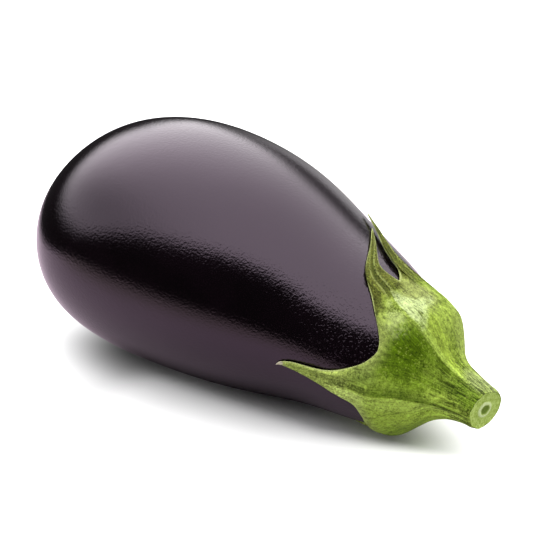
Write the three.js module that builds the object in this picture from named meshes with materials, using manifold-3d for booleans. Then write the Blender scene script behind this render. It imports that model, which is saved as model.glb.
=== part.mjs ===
// A whole eggplant lying on its side, in millimetres.
// +X runs along it to the cut stem, +Z is up and z = 0 is the floor it rests on.
import * as THREE from "three";
import Module from "manifold-3d";

// Purple fruit: a pear-shaped body drawn as sections square to its long axis
const AXIS_LENGTH = 187.5; // the length that the shares below are shares of
const GREATEST_RADIUS = 50;
const HEIGHT_SHARE = 0.95; // a little lower than it is wide
const SIDE_BOW = -30.3; // how far the axis bows to the side, times the squared share from the belly
const DOWN_BOW = -32.3; // the same downwards
const BELLY = 0.4; // share of the length where the bow is nil
const NECK_RISE = 0.6; // the axis lies this much higher past the neck than its bow says
const NECK_SPAN = [0.6, 0.82]; // shares of the length between which it rises
const REST_TILT = THREE.MathUtils.degToRad(6); // the narrow end leans down when the fruit lies at rest
const RESTING_SPOT_DEPTH = 0.6; // the belly is pressed flat by this much
// Share of the length, share of the greatest radius
const FRUIT_PROFILE = [
  [0, 0],
  [0.03, 0.42],
  [0.1, 0.75],
  [0.22, 0.96],
  [0.38, 1],
  [0.55, 0.91],
  [0.72, 0.717],
  [0.79, 0.651],
  [0.86, 0.567],
  [0.92, 0.44],
  [0.955, 0.31],
  [0.975, 0.17],
  [0.985, 0],
];
const SHOULDER_END = 0.985;

// Green calyx and stem, grown as one piece
const GAP = 0.3; // clearance between the calyx and the skin under it
const SHOULDER_GAP = 1.2; // the same over the hidden shoulder
const BLADE = 1.1; // thickness of a lobe
const EDGE = 0.8; // thickness at its margin
const CUP_WALL = 1.3; // the cup is nowhere thinner than this
const NECK_START = 0.86; // share of the axis where the calyx leaves the fruit's own curve
const MERGED = 0.93; // share of the axis where the lobes have become one cup
const CUT_CENTRE = new THREE.Vector3(126.8, -12.3, 24.3); // seen in the resting pose, belly centre at x = 0
const CUT_FACING = new THREE.Vector3(0.949, -0.296, -0.109).normalize();
// Share of the way from the neck's start to the cut, radius over the ridges
const STEM_PROFILE = [
  [0, 29.7],
  [0.14, 29],
  [0.28, 26.5],
  [0.42, 20.5],
  [0.56, 14.1],
  [0.7, 10.6],
  [0.84, 8.9],
  [0.95, 8.2],
  [1, 7.75],
];
const RIDGE_HEIGHT = 2.2; // ridges of the cup over the hollows between them
const GROOVE_DEPTH = 0.5; // groove down the middle of each lobe
const SWOLLEN_SIDE = 45; // the cup bulges, and the stem beside it is slimmer, near this angle round the stem
// Each lobe, going round from the side that bows in (0 degrees) over the top (90 degrees). Its two margins run from
// the tip to the notch on that side, and its midline from the tip to the cup; every pair is a share of the axis and
// an angle. The root is the sector of the cup that the lobe grows from, and the tip stands off the skin by its lift.
const LOBES = [
  {
    root: [8, 82],
    tipLift: 1.3,
    near: [
      [0.68, 54.5], [0.7, 59], [0.722, 62.4], [0.746, 65.4], [0.777, 70.4], [0.797, 72.4], [0.809, 71.9], [0.828, 68.8],
      [0.848, 63.4], [0.857, 57], [0.864, 38], [0.868, 8],
    ],
    far: [
      [0.68, 54.5], [0.712, 62.2], [0.731, 66.6], [0.748, 71.4], [0.759, 73.8], [0.78, 76.6], [0.804, 78.2],
      [0.82, 80.8], [0.834, 84.5], [0.842, 88.3],
    ],
    midline: [
      [0.68, 54.5], [0.712, 61.5], [0.731, 65], [0.748, 68.8], [0.765, 71.5], [0.784, 74.9], [0.804, 76.3],
      [0.819, 76.4], [0.832, 75], [0.848, 71], [0.867, 64], [0.93, 45],
    ],
  },
  {
    root: [82, 142],
    tipLift: 0.4,
    near: [
      [0.722, 68.5], [0.75, 76.5], [0.785, 89], [0.797, 92.4], [0.807, 93.1], [0.818, 92.3], [0.829, 91],
      [0.842, 88.3],
    ],
    far: [
      [0.722, 68.5], [0.736, 75.6], [0.755, 85], [0.773, 96], [0.786, 104], [0.8, 108.6], [0.829, 116.4],
      [0.845, 122.1], [0.872, 132.3], [0.885, 140.5], [0.888, 146],
    ],
    midline: [
      [0.722, 68.5], [0.74, 74.8], [0.76, 83.8], [0.777, 91.4], [0.791, 98], [0.804, 101.8], [0.822, 102.8],
      [0.845, 103], [0.872, 107.5], [0.93, 112],
    ],
  },
  {
    root: [142, 208],
    tipLift: 0.4,
    near: [
      [0.695, 189.4], [0.705, 185.4], [0.72, 183.4], [0.735, 182.2], [0.762, 180.9], [0.791, 178.7], [0.821, 174.1],
      [0.839, 169.6], [0.858, 163.7], [0.873, 157.3], [0.883, 151.4], [0.888, 146],
    ],
    far: [
      [0.695, 189.4], [0.707, 187.3], [0.745, 187.8], [0.783, 189.3], [0.802, 191.2], [0.84, 195.1], [0.859, 197.8],
      [0.867, 201.5], [0.874, 210.3], [0.875, 214],
    ],
    midline: [
      [0.695, 189.4], [0.707, 186.6], [0.745, 185], [0.784, 183.6], [0.83, 181.9], [0.86, 180.5], [0.892, 178.2],
      [0.93, 175],
    ],
  },
  {
    root: [208, 288],
    tipLift: 0.8,
    near: [
      [0.712, 258], [0.75, 257], [0.79, 255], [0.83, 253], [0.85, 250], [0.862, 244], [0.87, 233], [0.875, 214],
    ],
    far: [
      [0.712, 258], [0.74, 262], [0.77, 266], [0.8, 270], [0.83, 274], [0.855, 280], [0.866, 286], [0.868, 290],
    ],
    midline: [[0.712, 258], [0.75, 259], [0.8, 262], [0.86, 258], [0.93, 248]],
  },
  {
    root: [288, 368],
    tipLift: 0.8,
    near: [
      [0.69, 322], [0.72, 320.5], [0.75, 319], [0.78, 317.5], [0.81, 314.5], [0.835, 309.5], [0.855, 301],
      [0.866, 294], [0.868, 290],
    ],
    far: [
      [0.69, 322], [0.72, 326], [0.75, 329], [0.78, 332], [0.81, 336], [0.835, 342], [0.855, 352], [0.865, 361],
      [0.868, 368],
    ],
    midline: [[0.69, 322], [0.72, 323], [0.75, 324], [0.81, 325.5], [0.86, 327], [0.93, 328]],
  },
];

// Smooth curve through [x, y] points, with no overshoot
function monotone(points) {
  const n = points.length;
  const slope = [];
  const tangent = new Array(n).fill(0);
  for (let i = 0; i < n - 1; i++) {
    slope.push((points[i + 1][1] - points[i][1]) / (points[i + 1][0] - points[i][0]));
  }
  tangent[0] = slope[0];
  tangent[n - 1] = slope[n - 2];
  for (let i = 1; i < n - 1; i++) {
    const before = slope[i - 1];
    const after = slope[i];
    tangent[i] = before * after > 0 ? (2 * before * after) / (before + after) : 0;
  }
  return (x) => {
    let i = 0;
    while (i < n - 2 && x > points[i + 1][0]) i++;
    const h = points[i + 1][0] - points[i][0];
    const s = THREE.MathUtils.clamp((x - points[i][0]) / h, 0, 1);
    const a = (1 + 2 * s) * (1 - s) * (1 - s);
    const b = s * (1 - s) * (1 - s);
    const c = s * s * (3 - 2 * s);
    const d = s * s * (s - 1);
    return a * points[i][1] + b * h * tangent[i] + c * points[i + 1][1] + d * h * tangent[i + 1];
  };
}

// Natural cubic spline through [x, y] points
function spline(points) {
  const n = points.length;
  const x = points.map((p) => p[0]);
  const y = points.map((p) => p[1]);
  const bend = new Array(n).fill(0);
  const work = new Array(n).fill(0);
  for (let i = 1; i < n - 1; i++) {
    const share = (x[i] - x[i - 1]) / (x[i + 1] - x[i - 1]);
    const p = share * bend[i - 1] + 2;
    const jump = (y[i + 1] - y[i]) / (x[i + 1] - x[i]) - (y[i] - y[i - 1]) / (x[i] - x[i - 1]);
    bend[i] = (share - 1) / p;
    work[i] = ((6 * jump) / (x[i + 1] - x[i - 1]) - share * work[i - 1]) / p;
  }
  bend[n - 1] = 0;
  for (let i = n - 2; i >= 0; i--) bend[i] = bend[i] * bend[i + 1] + work[i];
  return (at) => {
    let i = 0;
    while (i < n - 2 && at > x[i + 1]) i++;
    const h = x[i + 1] - x[i];
    const a = (x[i + 1] - at) / h;
    const b = (at - x[i]) / h;
    return a * y[i] + b * y[i + 1] + (((a * a * a - a) * bend[i] + (b * b * b - b) * bend[i + 1]) * h * h) / 6;
  };
}

const smooth = THREE.MathUtils.smoothstep;
const radians = THREE.MathUtils.degToRad;

// The fruit's skin at a share of the axis and an angle round it, lying level
const squaredProfile = spline(FRUIT_PROFILE.map(([t, r]) => [t, r * r]));
const fruitRadius = (t) => GREATEST_RADIUS * Math.sqrt(Math.max(squaredProfile(t), 0));
const axisPoint = (t) => {
  const u = t - BELLY;
  const rise = NECK_RISE * smooth(t, ...NECK_SPAN);
  return new THREE.Vector3(u * AXIS_LENGTH, SIDE_BOW * u * u, DOWN_BOW * u * u + rise);
};
function skin(t, angle) {
  const r = fruitRadius(t);
  const p = axisPoint(t);
  p.y += r * Math.cos(angle);
  p.z += r * Math.sin(angle) * HEIGHT_SHARE;
  return p;
}
function skinOut(t, angle, distance) {
  if (t > SHOULDER_END - 1e-4) return axisPoint(SHOULDER_END).add(new THREE.Vector3(distance, 0, 0));
  const along = skin(Math.min(t + 1e-3, SHOULDER_END - 1e-5), angle).sub(skin(t - 1e-3, angle));
  const round = skin(t, angle + 1e-3).sub(skin(t, angle - 1e-3));
  const out = round.cross(along).normalize();
  return skin(t, angle).addScaledVector(out, distance);
}

// From lying level to the resting pose, before the floor is found
const tilt = new THREE.Matrix4().makeRotationY(REST_TILT);

// Collects a closed surface from rows of points that run round the same way
class Surface {
  constructor() {
    this.points = [];
    this.faces = [];
  }
  add(p) {
    this.points.push(p.x, p.y, p.z);
    return this.points.length / 3 - 1;
  }
  row(points) {
    return points.map((p) => this.add(p));
  }
  apart(a, b) {
    const at = (k) => new THREE.Vector3().fromArray(this.points, 3 * k);
    return at(a).distanceTo(at(b));
  }
  // Each four-sided patch is split along its shorter diagonal
  band(lower, upper) {
    const n = lower.length;
    for (let i = 0; i < n; i++) {
      const j = (i + 1) % n;
      const [a, b, c, d] = [lower[i], lower[j], upper[j], upper[i]];
      if (this.apart(a, c) < this.apart(b, d)) this.faces.push(a, b, c, a, c, d);
      else this.faces.push(a, b, d, b, c, d);
    }
  }
  fan(rim, pole, atStart) {
    const n = rim.length;
    for (let i = 0; i < n; i++) {
      const j = (i + 1) % n;
      if (atStart) this.faces.push(pole, rim[j], rim[i]);
      else this.faces.push(pole, rim[i], rim[j]);
    }
  }
  geometry() {
    const g = new THREE.BufferGeometry();
    g.setAttribute("position", new THREE.Float32BufferAttribute(this.points, 3));
    g.setIndex(this.faces);
    g.applyMatrix4(tilt);
    return g;
  }
}

// Fruit
const AROUND = 56;
const ROWS = [
  0.0025, 0.009, 0.02, 0.036, 0.057, 0.083, 0.113, 0.147, 0.184, 0.222, 0.262, 0.302, 0.343, 0.384, 0.425,
  0.466, 0.507, 0.548, 0.588, 0.628, 0.667, 0.705, 0.742, 0.778, 0.812, 0.843, 0.872, 0.898, 0.921, 0.941,
  0.957, 0.969, 0.9775, 0.9825,
];
const fruitSurface = new Surface();
const blossomEnd = fruitSurface.add(axisPoint(0));
const fruitRows = ROWS.map((t) =>
  fruitSurface.row(Array.from({ length: AROUND }, (_, i) => skin(t, (i / AROUND) * 2 * Math.PI))),
);
const shoulder = fruitSurface.add(axisPoint(SHOULDER_END));
fruitSurface.fan(fruitRows[0], blossomEnd, true);
for (let i = 0; i + 1 < fruitRows.length; i++) fruitSurface.band(fruitRows[i], fruitRows[i + 1]);
fruitSurface.fan(fruitRows[fruitRows.length - 1], shoulder, false);
const roundGeometry = fruitSurface.geometry();
roundGeometry.computeBoundingBox();
const floor = roundGeometry.boundingBox.min.z + RESTING_SPOT_DEPTH;

// The belly is pressed flat where the fruit rests
const wasm = await Module();
wasm.setup();
const roundFruit = new wasm.Manifold(
  new wasm.Mesh({
    numProp: 3,
    vertProperties: roundGeometry.attributes.position.array,
    triVerts: new Uint32Array(roundGeometry.index.array),
  }),
);
const pressed = roundFruit.trimByPlane([0, 0, 1], floor).getMesh();
const fruitGeometry = new THREE.BufferGeometry();
fruitGeometry.setAttribute("position", new THREE.BufferAttribute(pressed.vertProperties, 3));
fruitGeometry.setIndex(new THREE.BufferAttribute(pressed.triVerts, 1));

// Centre line of the stem, lying level: from the fruit's axis to the centre of the cut
const level = tilt.clone().invert();
const neckStart = axisPoint(NECK_START);
const neckWay = axisPoint(NECK_START + 0.01).sub(axisPoint(NECK_START - 0.01)).normalize();
const cutCentre = CUT_CENTRE.clone().add(new THREE.Vector3(0, 0, floor)).applyMatrix4(level);
const cutFacing = CUT_FACING.clone().transformDirection(level);
const reach = neckStart.distanceTo(cutCentre) * 0.33;
const stemLine = new THREE.CubicBezierCurve3(
  neckStart,
  neckStart.clone().addScaledVector(neckWay, reach),
  cutCentre.clone().addScaledVector(cutFacing, -reach),
  cutCentre,
);
const stemRadius = monotone(STEM_PROFILE);

const stemLength = stemLine.getLength();
const coverAtNeck = STEM_PROFILE[0][1] - fruitRadius(NECK_START);

// How far a point is outside the fruit, to first order
function depthField(p) {
  const t = p.x / AXIS_LENGTH + BELLY;
  const centre = axisPoint(t);
  const y = p.y - centre.y;
  const z = (p.z - centre.z) / HEIGHT_SHARE;
  return y * y + z * z - GREATEST_RADIUS * GREATEST_RADIUS * squaredProfile(t);
}
function clearance(p) {
  const here = depthField(p);
  const step = 1e-3;
  const slope = ["x", "y", "z"].map((k) => {
    const q = p.clone();
    q[k] += step;
    return (depthField(q) - here) / step;
  });
  return here / Math.hypot(...slope);
}

// The calyx from outside, at a share t of the fruit's axis that runs on along the stem
const wayAlongStem = (t) => ((t - NECK_START) * AXIS_LENGTH) / stemLength;
const shareAtStem = (w) => NECK_START + (w * stemLength) / AXIS_LENGTH;
function outside(t, angle, more) {
  const w = wayAlongStem(t);
  const way = new THREE.Vector3(1, 0, 0);
  if (w > 0) way.lerp(stemLine.getTangent(w), smooth(w, 0.05, 0.6)).normalize();
  const side = new THREE.Vector3(0, 0, 1).cross(way).normalize();
  const up = way.clone().cross(side);
  const cover = THREE.MathUtils.lerp(BLADE + GAP, coverAtNeck, smooth(t, 0.8, NECK_START));
  const least = GAP + THREE.MathUtils.lerp(EDGE, CUP_WALL, smooth(t, NECK_START, MERGED));
  const r = (w < 0 ? fruitRadius(t) + cover : stemRadius(w)) + more;
  const squash = THREE.MathUtils.lerp(HEIGHT_SHARE, 1, smooth(w, 0, 0.4));
  const centre = w < 0 ? axisPoint(t) : stemLine.getPoint(Math.min(w, 1));
  const out = side.multiplyScalar(Math.cos(angle)).addScaledVector(up, Math.sin(angle) * squash);
  const point = centre.addScaledVector(out, r);
  for (let i = 0; i < 60 && t > 0.8 && clearance(point) < least; i++) point.addScaledVector(out, 0.1);
  return point;
}

// A margin as a function of the share of its length from the tip
function margin(points) {
  const run = [0];
  for (let i = 1; i < points.length; i++) {
    const along = (points[i][0] - points[i - 1][0]) * AXIS_LENGTH;
    const across = radians(points[i][1] - points[i - 1][1]) * fruitRadius(points[i][0]);
    run.push(run[i - 1] + Math.hypot(along, across));
  }
  const whole = run[run.length - 1];
  const share = monotone(points.map((p, i) => [run[i] / whole, p[0]]));
  const angle = monotone(points.map((p, i) => [run[i] / whole, p[1]]));
  return (p) => [share(p), angle(p)];
}

// Columns run from the margin of a lobe to the cut, one for each place q across a lobe, from -1 to 1
const ACROSS = 18;
const columns = [];
for (const lobe of LOBES) {
  const midline = monotone(lobe.midline);
  const margins = [margin(lobe.near), margin(lobe.far)];
  for (let i = 0; i < ACROSS; i++) {
    const q = -1 + (2 * i) / ACROSS;
    const p = Math.abs(q);
    const [edge, angle] = margins[q < 0 ? 0 : 1](Math.pow(p, 0.9));
    const spread = angle - midline(edge);
    const stemAngle = (lobe.root[0] + lobe.root[1]) / 2 + (q * (lobe.root[1] - lobe.root[0])) / 2;
    columns.push({ midline, p, tip: lobe.near[0][0], tipLift: lobe.tipLift, edge, spread, stemAngle });
  }
}
// v is 0 where the lobes have merged and 1 at the margin. A column runs along its lobe before it fans out
function angleAt(column, v) {
  if (v <= 0) return radians(column.stemAngle);
  const t = MERGED + (column.edge - MERGED) * v;
  const root = column.stemAngle - column.midline(MERGED);
  const fanned = (1 - v) ** 2;
  return radians(column.midline(t) + root * fanned + column.spread * (1 - fanned));
}
// Under the cup the fruit's shoulder sits a little looser
const gapAt = (t, v) => {
  const shoulder = (SHOULDER_GAP - GAP) * smooth(t, 0.88, 0.97);
  return GAP + Math.max(shoulder, 0.25 * (1 - smooth(v, 0.8, 1)));
};
// Only the tips stand off the skin
function lift(column, t) {
  const toTip = THREE.MathUtils.clamp((0.81 - t) / (0.81 - column.tip), 0, 1);
  return column.tipLift * toTip * toTip;
}
// Ridges run from the stem down the midlines, with hollows between them
function relief(column, t) {
  const away = (Math.hypot(column.p, 0.22) - 0.22) / (Math.hypot(1, 0.22) - 0.22);
  const w = wayAlongStem(t);
  const strength = smooth(t, 0.85, 0.94) * (1 - 0.85 * smooth(w, 0.45, 0.95));
  const beside = Math.exp(-(((column.stemAngle - SWOLLEN_SIDE) / 40) ** 2));
  const bulge = 0.8 * Math.exp(-(((w - 0.36) / 0.08) ** 2)) - 1.3 * Math.exp(-(((w - 0.57) / 0.12) ** 2));
  return -RIDGE_HEIGHT * away * strength + bulge * beside;
}
// Two soft swellings beside a groove, down the middle of each lobe
function leaflet(column, v) {
  const swell = Math.exp(-Math.pow((column.p - 0.42) / 0.24, 2));
  return GROOVE_DEPTH * swell * smooth(v, 0.35, 0.7) * (1 - smooth(v, 0.9, 1));
}

const calyx = new Surface();
const domeTop = calyx.add(skinOut(SHOULDER_END, 0, SHOULDER_GAP));
const INNER_STEPS = [0.97, 0.91, 0.82, 0.71, 0.59, 0.46, 0.33, 0.2, 0.09, 0];
const rows = INNER_STEPS.map((s) =>
  calyx.row(
    columns.map((column) => {
      const t = column.edge + (SHOULDER_END - column.edge) * s;
      const v = (t - MERGED) / (column.edge - MERGED);
      return skinOut(t, angleAt(column, v), gapAt(t, v) + lift(column, t));
    }),
  ),
);
const OUTER_STEPS = [1, 0.95, 0.87, 0.77, 0.66, 0.55, 0.44, 0.33, 0.22, 0.11, 0];
for (const v of OUTER_STEPS) {
  rows.push(
    calyx.row(
      columns.map((column) => {
        const t = MERGED + (column.edge - MERGED) * v;
        const thin = (BLADE - EDGE) * smooth(v, 0.8, 1);
        const swell = leaflet(column, v) + relief(column, t) + lift(column, t) - thin;
        return outside(t, angleAt(column, v), swell);
      }),
    ),
  );
}
const mergedWay = wayAlongStem(MERGED);
const STEM_STEPS = [0.1, 0.2, 0.3, 0.4, 0.51, 0.62, 0.73, 0.83, 0.91, 0.97, 1];
for (const s of STEM_STEPS) {
  const t = shareAtStem(mergedWay + (1 - mergedWay) * s);
  rows.push(calyx.row(columns.map((c) => outside(t, radians(c.stemAngle), relief(c, t)))));
}
// The cut: a slightly sunken face with a raised ring round the pith
const CUT_RINGS = [
  [0.9, -0.35],
  [0.42, -0.45],
  [0.38, -0.1],
  [0.24, -0.1],
  [0.19, -0.6],
];
for (const [share, depth] of CUT_RINGS) {
  rows.push(
    calyx.row(
      columns.map((c) => {
        const centre = cutCentre.clone();
        const rim = outside(shareAtStem(1), radians(c.stemAngle), relief(c, shareAtStem(1)));
        return centre.lerp(rim, share).addScaledVector(cutFacing, depth);
      }),
    ),
  );
}
const pith = calyx.add(cutCentre.clone().addScaledVector(cutFacing, -0.6));
calyx.fan(rows[0], domeTop, true);
for (let i = 0; i + 1 < rows.length; i++) calyx.band(rows[i], rows[i + 1]);
calyx.fan(rows[rows.length - 1], pith, false);
const calyxGeometry = calyx.geometry();

// Both pieces are set with the middle of the whole box over the origin
const box = new THREE.Box3();
for (const g of [fruitGeometry, calyxGeometry]) {
  g.computeBoundingBox();
  box.union(g.boundingBox);
}
const middle = box.getCenter(new THREE.Vector3());
for (const g of [fruitGeometry, calyxGeometry]) {
  g.translate(-middle.x, -middle.y, -floor);
  g.computeVertexNormals();
}

const group = new THREE.Group();
const skinMaterial = new THREE.MeshStandardMaterial({ color: 0x1c0f1d, roughness: 0.25 });
const fruit = new THREE.Mesh(fruitGeometry, skinMaterial);
fruit.name = "fruit";
const greenMaterial = new THREE.MeshStandardMaterial({ color: 0x6f9431, roughness: 0.7 });
const calyxWithStem = new THREE.Mesh(calyxGeometry, greenMaterial);
calyxWithStem.name = "calyx_with_stem";
group.add(fruit, calyxWithStem);

export default group;
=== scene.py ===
# %% [markdown]
# # An eggplant lying on a pale table
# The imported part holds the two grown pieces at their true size: the purple fruit, and the green calyx with its cut
# stem. This notebook models the finer surface of both, paints them, and sets them on a pale floor under a big soft
# light. Everything is in the part's own frame: +X runs along the fruit to the stem, +Z is up, and z = 0 is the floor.

# %% Load the frame
import math

import bpy
from mathutils import Matrix, Vector, noise


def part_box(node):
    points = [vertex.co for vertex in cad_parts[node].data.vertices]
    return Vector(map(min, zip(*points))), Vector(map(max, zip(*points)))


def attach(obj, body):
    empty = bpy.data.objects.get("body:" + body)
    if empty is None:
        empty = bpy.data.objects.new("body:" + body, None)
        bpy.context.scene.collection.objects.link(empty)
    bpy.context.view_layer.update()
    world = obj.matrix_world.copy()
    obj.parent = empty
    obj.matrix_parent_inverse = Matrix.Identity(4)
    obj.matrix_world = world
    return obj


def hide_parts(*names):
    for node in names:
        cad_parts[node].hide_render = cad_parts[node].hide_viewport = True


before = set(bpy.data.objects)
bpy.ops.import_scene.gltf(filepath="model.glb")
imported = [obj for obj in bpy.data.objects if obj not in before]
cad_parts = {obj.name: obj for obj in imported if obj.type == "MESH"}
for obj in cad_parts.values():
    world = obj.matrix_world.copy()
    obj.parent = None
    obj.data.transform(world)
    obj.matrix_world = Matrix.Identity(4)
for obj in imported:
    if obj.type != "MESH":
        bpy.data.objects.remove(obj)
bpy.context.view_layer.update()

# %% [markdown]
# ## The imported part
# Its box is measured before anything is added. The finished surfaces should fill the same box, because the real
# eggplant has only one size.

FRUIT_LOW, FRUIT_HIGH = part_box("fruit")
MM = 0.001  # forms are worked out in millimetres, and Blender works in metres

# %% [markdown]
# ## Camera
# The photograph looks down at the fruit from its stem end, from some way off, so the near end hardly swells. A long
# lens keeps that flat perspective. The camera comes first, so that every later step can be looked at from it.

# %% Camera
LENS = 154.97  # mm
LOOKED_AT = Vector((-11.126, 11.859, 39.4)) * MM
AZIMUTH = math.radians(35)
ELEVATION = math.radians(26)
DISTANCE = 0.9

back = Vector((
    math.sin(AZIMUTH) * math.cos(ELEVATION),
    -math.cos(AZIMUTH) * math.cos(ELEVATION),
    math.sin(ELEVATION),
))
facing_it = (-back).to_track_quat("-Z", "Y").to_euler()
bpy.ops.object.camera_add(location=LOOKED_AT + back * DISTANCE, rotation=facing_it)
camera = bpy.context.object
camera.name = "camera"
camera.data.lens = LENS
bpy.context.scene.camera = camera
print("camera at", [round(v, 3) for v in camera.location])

# %% [markdown]
# ## Curves through points
# A fruit has no arcs or straight lines. Its profile is a smooth curve through a few widths, and so are the margins of
# its calyx. One helper makes a soft curve that may swing a little between its points, and the other never overshoots.

# %% Curves through points
def clamp(x, low=0.0, high=1.0):
    return max(low, min(high, x))


def smooth(x, low, high):
    """0 below low, 1 above high, with a soft step between them."""
    s = clamp((x - low) / (high - low))
    return s * s * (3 - 2 * s)


def blend(a, b, share):
    return a + (b - a) * share


def span_at(xs, at):
    i = 0
    while i < len(xs) - 2 and at > xs[i + 1]:
        i += 1
    return i


def swinging_curve(points):
    """A natural cubic spline."""
    xs, ys = zip(*points)
    n = len(points)
    bend, work = [0.0] * n, [0.0] * n
    for i in range(1, n - 1):
        share = (xs[i] - xs[i - 1]) / (xs[i + 1] - xs[i - 1])
        p = share * bend[i - 1] + 2
        jump = (ys[i + 1] - ys[i]) / (xs[i + 1] - xs[i]) - (ys[i] - ys[i - 1]) / (xs[i] - xs[i - 1])
        bend[i] = (share - 1) / p
        work[i] = (6 * jump / (xs[i + 1] - xs[i - 1]) - share * work[i - 1]) / p
    bend[n - 1] = 0.0
    for i in range(n - 2, -1, -1):
        bend[i] = bend[i] * bend[i + 1] + work[i]

    def curve(at):
        i = span_at(xs, at)
        h = xs[i + 1] - xs[i]
        a, b = (xs[i + 1] - at) / h, (at - xs[i]) / h
        return a * ys[i] + b * ys[i + 1] + ((a**3 - a) * bend[i] + (b**3 - b) * bend[i + 1]) * h * h / 6

    return curve


def steady_curve(points):
    """A cubic through the points that never overshoots them."""
    xs, ys = zip(*points)
    n = len(points)
    slope = [(ys[i + 1] - ys[i]) / (xs[i + 1] - xs[i]) for i in range(n - 1)]
    tangent = [slope[0]] + [0.0] * (n - 2) + [slope[-1]]
    for i in range(1, n - 1):
        if slope[i - 1] * slope[i] > 0:
            tangent[i] = 2 * slope[i - 1] * slope[i] / (slope[i - 1] + slope[i])

    def curve(at):
        i = span_at(xs, at)
        h = xs[i + 1] - xs[i]
        s = clamp((at - xs[i]) / h)
        start = (1 + 2 * s) * (1 - s) ** 2 * ys[i] + s * (1 - s) ** 2 * h * tangent[i]
        return start + s * s * (3 - 2 * s) * ys[i + 1] + s * s * (s - 1) * h * tangent[i + 1]

    return curve


# %% [markdown]
# ## The form of the fruit
# An eggplant is a stack of nearly round sections along an axis that bows to one side and down. These are the same
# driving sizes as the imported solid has, so the fine surface lies on it. The form is drawn lying level, then it leans
# by a few degrees, as the real one does when its weight settles it on its belly.

# %% The form of the fruit
AXIS_LENGTH = 187.5
GREATEST_RADIUS = 50
HEIGHT_SHARE = 0.95
SIDE_BOW = -30.3
DOWN_BOW = -32.3
BELLY = 0.4  # share of the axis where the bow is nil
NECK_RISE = 0.6  # the axis lies this much higher past the neck
NECK_SPAN = (0.6, 0.82)
REST_TILT = math.radians(6)
PROFILE = [
    (0, 0), (0.03, 0.42), (0.1, 0.75), (0.22, 0.96), (0.38, 1), (0.55, 0.91), (0.72, 0.717), (0.79, 0.651),
    (0.86, 0.567), (0.92, 0.44), (0.955, 0.31), (0.975, 0.17), (0.985, 0),
]
SHOULDER_END = 0.985

squared_profile = swinging_curve([(t, r * r) for t, r in PROFILE])


def fruit_radius(t):
    return GREATEST_RADIUS * math.sqrt(max(squared_profile(t), 0))


def axis_point(t):
    u = t - BELLY
    rise = NECK_RISE * smooth(t, *NECK_SPAN)
    return Vector((u * AXIS_LENGTH, SIDE_BOW * u * u, DOWN_BOW * u * u + rise))


def skin_point(t, angle):
    r = fruit_radius(t)
    return axis_point(t) + Vector((0, r * math.cos(angle), r * math.sin(angle) * HEIGHT_SHARE))


print("widest section", 2 * GREATEST_RADIUS, "mm across")

# %% [markdown]
# ## From the drawing to the table
# The level drawing is turned by its resting lean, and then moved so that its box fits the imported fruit's box. Only
# the top of the box counts for the height, because the belly is pressed flat below.

# %% From the drawing to the table
TILT = Matrix.Rotation(REST_TILT, 4, "Y")
TRIAL_SHARES = [i / 400 * SHOULDER_END for i in range(401)]
trial = [TILT @ skin_point(t, math.radians(a)) for t in TRIAL_SHARES for a in range(0, 360, 3)]
drawn_low = Vector([min(p[k] for p in trial) for k in range(3)])
drawn_high = Vector([max(p[k] for p in trial) for k in range(3)])
SHIFT = (FRUIT_LOW + FRUIT_HIGH) / 2 / MM - (drawn_low + drawn_high) / 2
SHIFT.z = FRUIT_HIGH.z / MM - drawn_high.z
FLOOR = -SHIFT.z  # the table's height in the leaning drawing
print("moved by", [round(v, 2) for v in SHIFT], "mm")

# %% [markdown]
# ## Working in edit mode
# The fruit is drawn as a turner would: a ring at the blossom end is extruded ring by ring to the shoulder, and each
# new ring is moved and scaled to the form. Each step is an operator, with its centre given, because there is no
# window to take a pivot from.

# %% Working in edit mode
def deselect_all():
    if bpy.context.mode != "OBJECT":
        bpy.ops.object.mode_set(mode="OBJECT")
    bpy.ops.object.select_all(action="DESELECT")


def pick(piece):
    """Makes a piece the only one selected, and the active one."""
    deselect_all()
    piece.select_set(True)
    bpy.context.view_layer.objects.active = piece


def apply_modifier(piece, kind, **settings):
    """Adds a modifier, sets it and applies it."""
    pick(piece)
    modifier = piece.modifiers.new(kind.title(), kind)
    for name, value in settings.items():
        setattr(modifier, name, value)
    bpy.ops.object.modifier_apply(modifier=modifier.name)


# %% [markdown]
# ## Fruit
# The fruit is one closed skin. A small disc at the blossom end is extruded from ring to ring, and each ring is
# resized to the profile, because a round form follows from its sections. The last ring is closed with a fan of
# faces, and the middles of both ends are moved out to the poles.

# %% Fruit
AROUND = 72
RINGS = 44
# Rings lie closer where the form turns faster, at both ends
RING_SHARES = [SHOULDER_END * (1 - math.cos(math.pi * (i + 0.5) / RINGS)) / 2 for i in range(RINGS)]

deselect_all()
first_centre, first_radius = axis_point(RING_SHARES[0]), fruit_radius(RING_SHARES[0])
bpy.ops.mesh.primitive_circle_add(
    vertices=AROUND,
    radius=first_radius * MM,
    fill_type="TRIFAN",
    location=first_centre * MM,
    rotation=(0, -math.pi / 2, 0),
)
fruit = bpy.context.object
fruit.name = "eggplant_skin"
bpy.ops.object.transform_apply(location=True, rotation=True, scale=True)
bpy.ops.object.mode_set(mode="EDIT")
bpy.ops.mesh.select_all(action="SELECT")
bpy.ops.transform.resize(value=(1, 1, HEIGHT_SHARE), center_override=first_centre * MM)
bpy.ops.mesh.select_all(action="DESELECT")
bpy.ops.mesh.select_non_manifold()
centre, radius = first_centre, first_radius
for share in RING_SHARES[1:]:
    next_centre, next_radius = axis_point(share), fruit_radius(share)
    bpy.ops.mesh.extrude_edges_move(TRANSFORM_OT_translate={"value": (next_centre - centre) * MM})
    growth = next_radius / radius
    bpy.ops.transform.resize(value=(growth, growth, growth), center_override=next_centre * MM)
    centre, radius = next_centre, next_radius
bpy.ops.mesh.edge_face_add()
bpy.ops.mesh.poke()
bpy.ops.mesh.select_all(action="SELECT")
bpy.ops.mesh.normals_make_consistent(inside=False)
bpy.ops.object.mode_set(mode="OBJECT")
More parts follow.
